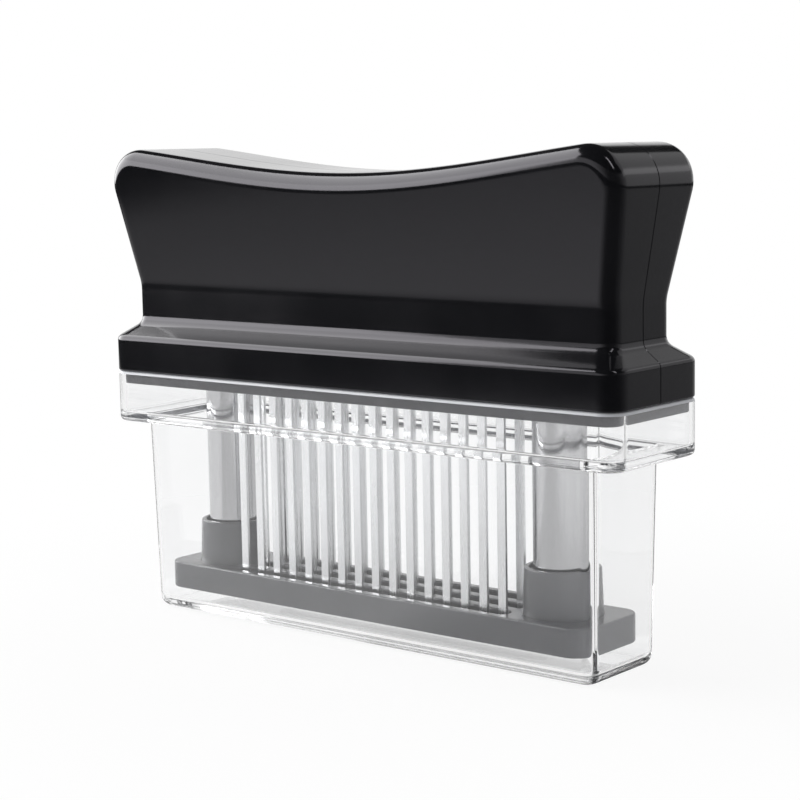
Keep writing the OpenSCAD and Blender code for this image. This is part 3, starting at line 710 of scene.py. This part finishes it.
def coilSpring(side):
    c = spring
    lo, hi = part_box("spring_" + side)
    r = c["wire"] / 2
    x, reach = (lo.x + hi.x) / 2, (hi.x - lo.x) / 2 - r
    low, high, rise = lo.z + r, hi.z - r, c["closedRise"]

    def height(turn):  # the first and last coil are closed
        if turn < 1:
            return low + rise * turn
        if turn > c["coils"] - 1:
            return high - rise * (c["coils"] - turn)
        return low + rise + (high - low - 2 * rise) * (turn - 1) / (c["coils"] - 2)

    bm = bmesh.new()
    rings = []
    for i in range(c["coils"] * c["stepsPerCoil"] + 1):
        turn = i / c["stepsPerCoil"]
        out = Vector((math.cos(2 * math.pi * turn), math.sin(2 * math.pi * turn), 0))
        middle = Vector((x, 0, height(turn)))
        ring = circleOutline(reach, 0, r, c["wireSides"])
        rings.append([bm.verts.new(middle + out * q + Vector((0, 0, up))) for q, up in ring])
    ringsInto(bm, rings, False)
    bm.faces.new(list(reversed(rings[0])))
    bm.faces.new(rings[-1])
    name = "spring" + side.capitalize()
    obj = finishMesh(name, bm, "spring", "handle", "spring_" + side)
    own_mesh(obj)


for side in ("left", "right"):
    guideColumn(side)
for side in ("left", "right"):
    coilSpring(side)
print("stage: columns and springs built")


# one blade with its head, at the middle of its row
def bladeMesh(low, high):
    w, t = blades["width"] / 2, blades["thick"] / 2
    headZ = high - blades["headHeight"]
    bm = bmesh.new()

    def block(halfX, z0, z1):
        for p in bmesh.ops.create_cube(bm, size=1)["verts"]:
            p.co = math.copysign(halfX, p.co.x), math.copysign(t, p.co.y), z0 if p.co.z < 0 else z1

    block(w, low, headZ)
    block(w + blades["headOut"], headZ, high)
    bmesh.ops.bevel(bm, geom=bm.edges[:], offset=blades["edge"], segments=1, affect="EDGES")
    bmesh.ops.recalc_face_normals(bm, faces=bm.faces)
    mesh = bpy.data.meshes.new("blade")
    bm.to_mesh(mesh)
    bm.free()
    return mesh


# geometry nodes that set a row of blades side by side
def rowTree():
    tree = bpy.data.node_groups.new("bladeRow", "GeometryNodeTree")
    face = tree.interface
    face.new_socket("Geometry", in_out="INPUT", socket_type="NodeSocketGeometry")
    sockets = {}
    for label, kind in (("Count", "Int"), ("Pitch", "Float"), ("Row", "Float"), ("Finish", "Material")):
        made = face.new_socket(label, in_out="INPUT", socket_type="NodeSocket" + kind)
        sockets[label] = made.identifier
    face.new_socket("Geometry", in_out="OUTPUT", socket_type="NodeSocketGeometry")

    def node(kind, values, operation=None):
        n = tree.nodes.new(kind)
        if operation:
            n.operation = operation
        for key, value in values.items():
            if hasattr(value, "is_output"):
                tree.links.new(value, n.inputs[key])
            else:
                n.inputs[key].default_value = value
        return n.outputs[0] if len(n.outputs) else None

    given = tree.nodes.new("NodeGroupInput").outputs
    less = node("ShaderNodeMath", {0: given["Count"], 1: 1.0}, "SUBTRACT")
    span = node("ShaderNodeMath", {0: less, 1: given["Pitch"]}, "MULTIPLY")
    first = node("ShaderNodeMath", {0: span, 1: -0.5}, "MULTIPLY")
    begin = node("ShaderNodeCombineXYZ", {"X": first, "Y": given["Row"]})
    step = node("ShaderNodeCombineXYZ", {"X": given["Pitch"]})
    line = node("GeometryNodeMeshLine", {"Count": given["Count"], "Start Location": begin, "Offset": step})
    copies = node("GeometryNodeInstanceOnPoints", {"Points": line, "Instance": given["Geometry"]})
    real = node("GeometryNodeRealizeInstances", {"Geometry": copies})
    dressed = node("GeometryNodeSetMaterial", {"Geometry": real, "Material": given["Finish"]})
    node("NodeGroupOutput", {"Geometry": dressed})
    return tree, sockets


bladeTree, bladeSockets = rowTree()


def bladeRow(place):
    node = "blade_row_" + place
    lo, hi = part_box(node)
    seed = shown("bladeSeed", bladeMesh(lo.z, hi.z))
    row = seed.modifiers.new("row", "NODES")
    row.node_group = bladeTree
    row[bladeSockets["Count"]] = blades["perRow"]
    row[bladeSockets["Pitch"]] = bladePitch
    row[bladeSockets["Row"]] = (lo.y + hi.y) / 2
    row[bladeSockets["Finish"]] = finishes["blade"]
    made = meshOf(seed)
    bpy.data.objects.remove(seed)
    made.name = "bladeRow" + place.capitalize()
    settle(shown(made.name, made), "handle", node)


for place in ("front", "middle", "rear"):
    bladeRow(place)
print("stage: blades built")


camera = {
    "at": (292.63 * mm, -347.93 * mm, 115.65 * mm), "azimuth": 39.502, "down": 7.603, "roll": -1.022,
    "focalPixels": 1969.4, "imagePixels": 800.0, "centre": (404.7, 401.65)}


def makeCamera():
    c = camera
    size = c["imagePixels"]
    data = bpy.data.cameras.new("photoCamera")
    data.sensor_width = 36
    data.lens = c["focalPixels"] / size * 36
    data.shift_x = -(c["centre"][0] - size / 2) / size
    data.shift_y = (c["centre"][1] - size / 2) / size
    data.clip_start, data.clip_end = 0.01, 20
    a, e, r = (math.radians(c[k]) for k in ("azimuth", "down", "roll"))
    ahead = Vector((-math.sin(a) * math.cos(e), math.cos(a) * math.cos(e), -math.sin(e)))
    side = Vector((math.cos(a), math.sin(a), 0))
    up = side.cross(ahead)
    right = side * math.cos(r) + up * math.sin(r)
    top = up * math.cos(r) - side * math.sin(r)
    obj = shown("photoCamera", data)
    obj.matrix_world = Matrix.Translation(c["at"]) @ Matrix((right, top, -ahead)).transposed().to_4x4()
    bpy.context.scene.camera = obj


# levels are radiances, 1 being white; spans are shares of a direction or metres on the table
studio = {
    "ambient": 0.35, "fromRight": 1.9,  # plain light, and more of it on what stands inside the cover
    "backdropTop": 0.42, "backdropEdge": 0.06, "darkRoom": 0.03,  # what gloss sees above the backdrop
    "rightShare": 0.45, "rightSpan": (0.1, 0.7),
    "frontWay": (0.8, -0.6), "frontShare": 0.12, "frontSpan": (0.35, 0.9),
    "glow": 0.12, "glowUp": (0.1, 0.2), "glowTop": (0.39, 0.45),  # a dim part of it at the left and back
    "glowLeft": (-0.5, -0.3), "glowBack": (0.2, 0.5),
    "wallLight": 0.95,  # light that has only run inside a clear wall
    "tentLight": 1.0, "tentDark": 0.72, "tentLeft": (-0.09, -0.07), "tentRight": (0.12, 0.24),
    "tentFar": 0.6, "tentFarSpan": (-0.4, -0.2)}

# the lit table: white near the object and dark farther out, as gloss shows it; white all over to the eye
table = {
    "size": 4.0, "tone": 0.9, "litCentre": (0.15, 0.45, 0), "litRadius": 0.87, "edgeSoft": 0.02,
    "unlit": 0.02, "farShare": 0.5, "fadeSpan": (0.1, 0.36), "nearShare": 0.9, "nearSpan": (0.06, 0.2)}


# shares of a ray: straight to the eye, seen in gloss, kept inside one clear wall, seen in steel
# behind a wall, and behind a wall at all
def rayKinds(f):
    eye, gloss, through, mirrors, scatters, walls = f.node("ShaderNodeLightPath", out=(
        "Is Camera Ray", "Is Glossy Ray", "Is Transmission Ray",
        "Glossy Depth", "Diffuse Depth", "Transmission Depth"))
    mirrored, clean = mirrors.atMost(1.0), 1 - scatters.atMost(1.0)
    behind, deep = walls.atMost(1.0), walls.above(2.5)
    straight = eye.atLeast(through * (1 - mirrored)) * clean
    reflected = gloss.atLeast(through) * mirrored * clean
    return straight, reflected * (1 - behind), reflected * (behind - deep), reflected * deep, behind


def sideFactor(f, x, y):
    s = studio
    right = f.spread(x, 1.0, s["rightShare"], *s["rightSpan"])
    way = x * s["frontWay"][0] + y * s["frontWay"][1]
    return right * f.spread(way, 1.0, s["frontShare"], *s["frontSpan"])


def tableFinish():
    s, t = studio, table
    f = Finish("whiteTable")
    spot = f.spot()
    centre = f.node("ShaderNodeVectorMath", {"operation": "SUBTRACT"}, {0: spot, 1: t["litCentre"]})
    away = f.node("ShaderNodeVectorMath", {"operation": "LENGTH"}, {0: centre}, out=1)
    near = f.node("ShaderNodeVectorMath", {"operation": "LENGTH"}, {0: spot}, out=1)
    x, y = f.split(f.node("ShaderNodeVectorMath", {"operation": "NORMALIZE"}, {0: spot}))
    east = f.split(spot, 0)
    straight, reflected, edge, inside, behind = rayKinds(f)
    rim, soft = t["litRadius"], t["edgeSoft"]
    lit = f.spread(away, 1.0, t["unlit"], rim - soft, rim + soft, True)
    fade = f.spread(near, 1.0, t["farShare"], *t["fadeSpan"])
    seen = f.spread(near, t["nearShare"], 1.0, *t["nearSpan"], True)
    tent = f.spread(east, s["tentLight"] - s["tentDark"], 0.0, *s["tentLeft"])
    tent = tent + f.spread(east, s["tentDark"], s["tentLight"], *s["tentRight"])
    tone = f.ramp(f.noise(5, detail=3.0), t["tone"] * 0.99, t["tone"])
    strength = reflected * lit * fade * sideFactor(f, x, y)
    strength = strength + edge * s["wallLight"] + inside * tent + straight
    body = f.node("ShaderNodeBsdfDiffuse", {}, {"Color": tone})
    glow = f.node("ShaderNodeEmission", {}, {"Color": (1, 1, 1, 1), "Strength": strength})
    return f.end(f.node("ShaderNodeMixShader", {}, {
        0: reflected + edge + inside + straight * seen, 1: body, 2: glow}))


def makeTable():
    size, low = table["size"], -0.00005
    corners = [(-size, -size, low), (size, -size, low), (size, size, low), (-size, size, low)]
    mesh = bpy.data.meshes.new("whiteTable")
    mesh.from_pydata(corners, [], [(0, 1, 2, 3)])
    mesh.materials.append(tableFinish())
    shown("whiteTable", mesh)


def makeWorld():
    s = studio
    f = Finish("studio", world=True)
    bpy.context.scene.world = f.block
    straight, reflected, edge, inside, behind = rayKinds(f)
    x, y, up = f.split(f.node("ShaderNodeTexCoord", out="Generated"), (0, 1, 2))
    top = s["backdropTop"]
    backdrop = f.spread(up, 1.0, s["darkRoom"], top - s["backdropEdge"], top, True)
    glow = f.spread(up, 0.0, s["glow"], *s["glowUp"]) * f.spread(up, 1.0, 0.0, *s["glowTop"])
    glow = glow * f.spread(x, 1.0, 0.0, *s["glowLeft"]) * f.spread(y, 0.0, 1.0, *s["glowBack"])
    level = straight + reflected * (backdrop * sideFactor(f, x, y) + glow) + edge * s["wallLight"]
    level = level + inside * f.spread(x, s["tentLight"], s["tentFar"], *s["tentFarSpan"])
    plain = s["ambient"] + behind * x.atLeast(0.0) * s["fromRight"]
    level = level + (1 - straight - reflected - edge - inside) * plain
    sky = f.node("ShaderNodeBackground", {}, {"Color": (1, 1, 1, 1), "Strength": level})
    f.node("ShaderNodeOutputWorld", {}, {"Surface": sky})


softboxes = {  # place, aim, width and height, radiance
    "leftBox": ((-0.75, -0.40, 0.6), (0, -0.40, 0.6), (1.12, 1.08), 4.4),
    "rightStrip": ((0.62, -0.16, 0.80), (0, 0, 0.08), (0.10, 0.5), 5.0),
    "backBox": ((0.45, 0.80, 0.70), (0, 0, 0.08), (1.0, 0.7), 0.6)}


def makeSoftboxes():
    for name, (at, aim, size, radiance) in softboxes.items():
        data = bpy.data.lights.new(name, "AREA")
        data.shape = "RECTANGLE"
        data.size, data.size_y = size
        data.energy = radiance * math.pi * size[0] * size[1]
        turn = (Vector(aim) - Vector(at)).to_track_quat("-Z", "Y").to_matrix().to_4x4()
        obj = shown(name, data)
        obj.matrix_world = Matrix.Translation(at) @ turn
        obj.visible_camera = False


makeCamera()
makeTable()
makeWorld()
makeSoftboxes()
bpy.context.scene.view_settings.view_transform = "Standard"
cycles = bpy.context.scene.cycles  # clear walls pass a ray on many times
cycles.max_bounces, cycles.glossy_bounces, cycles.transmission_bounces = 40, 32, 32

print("stage: ready")
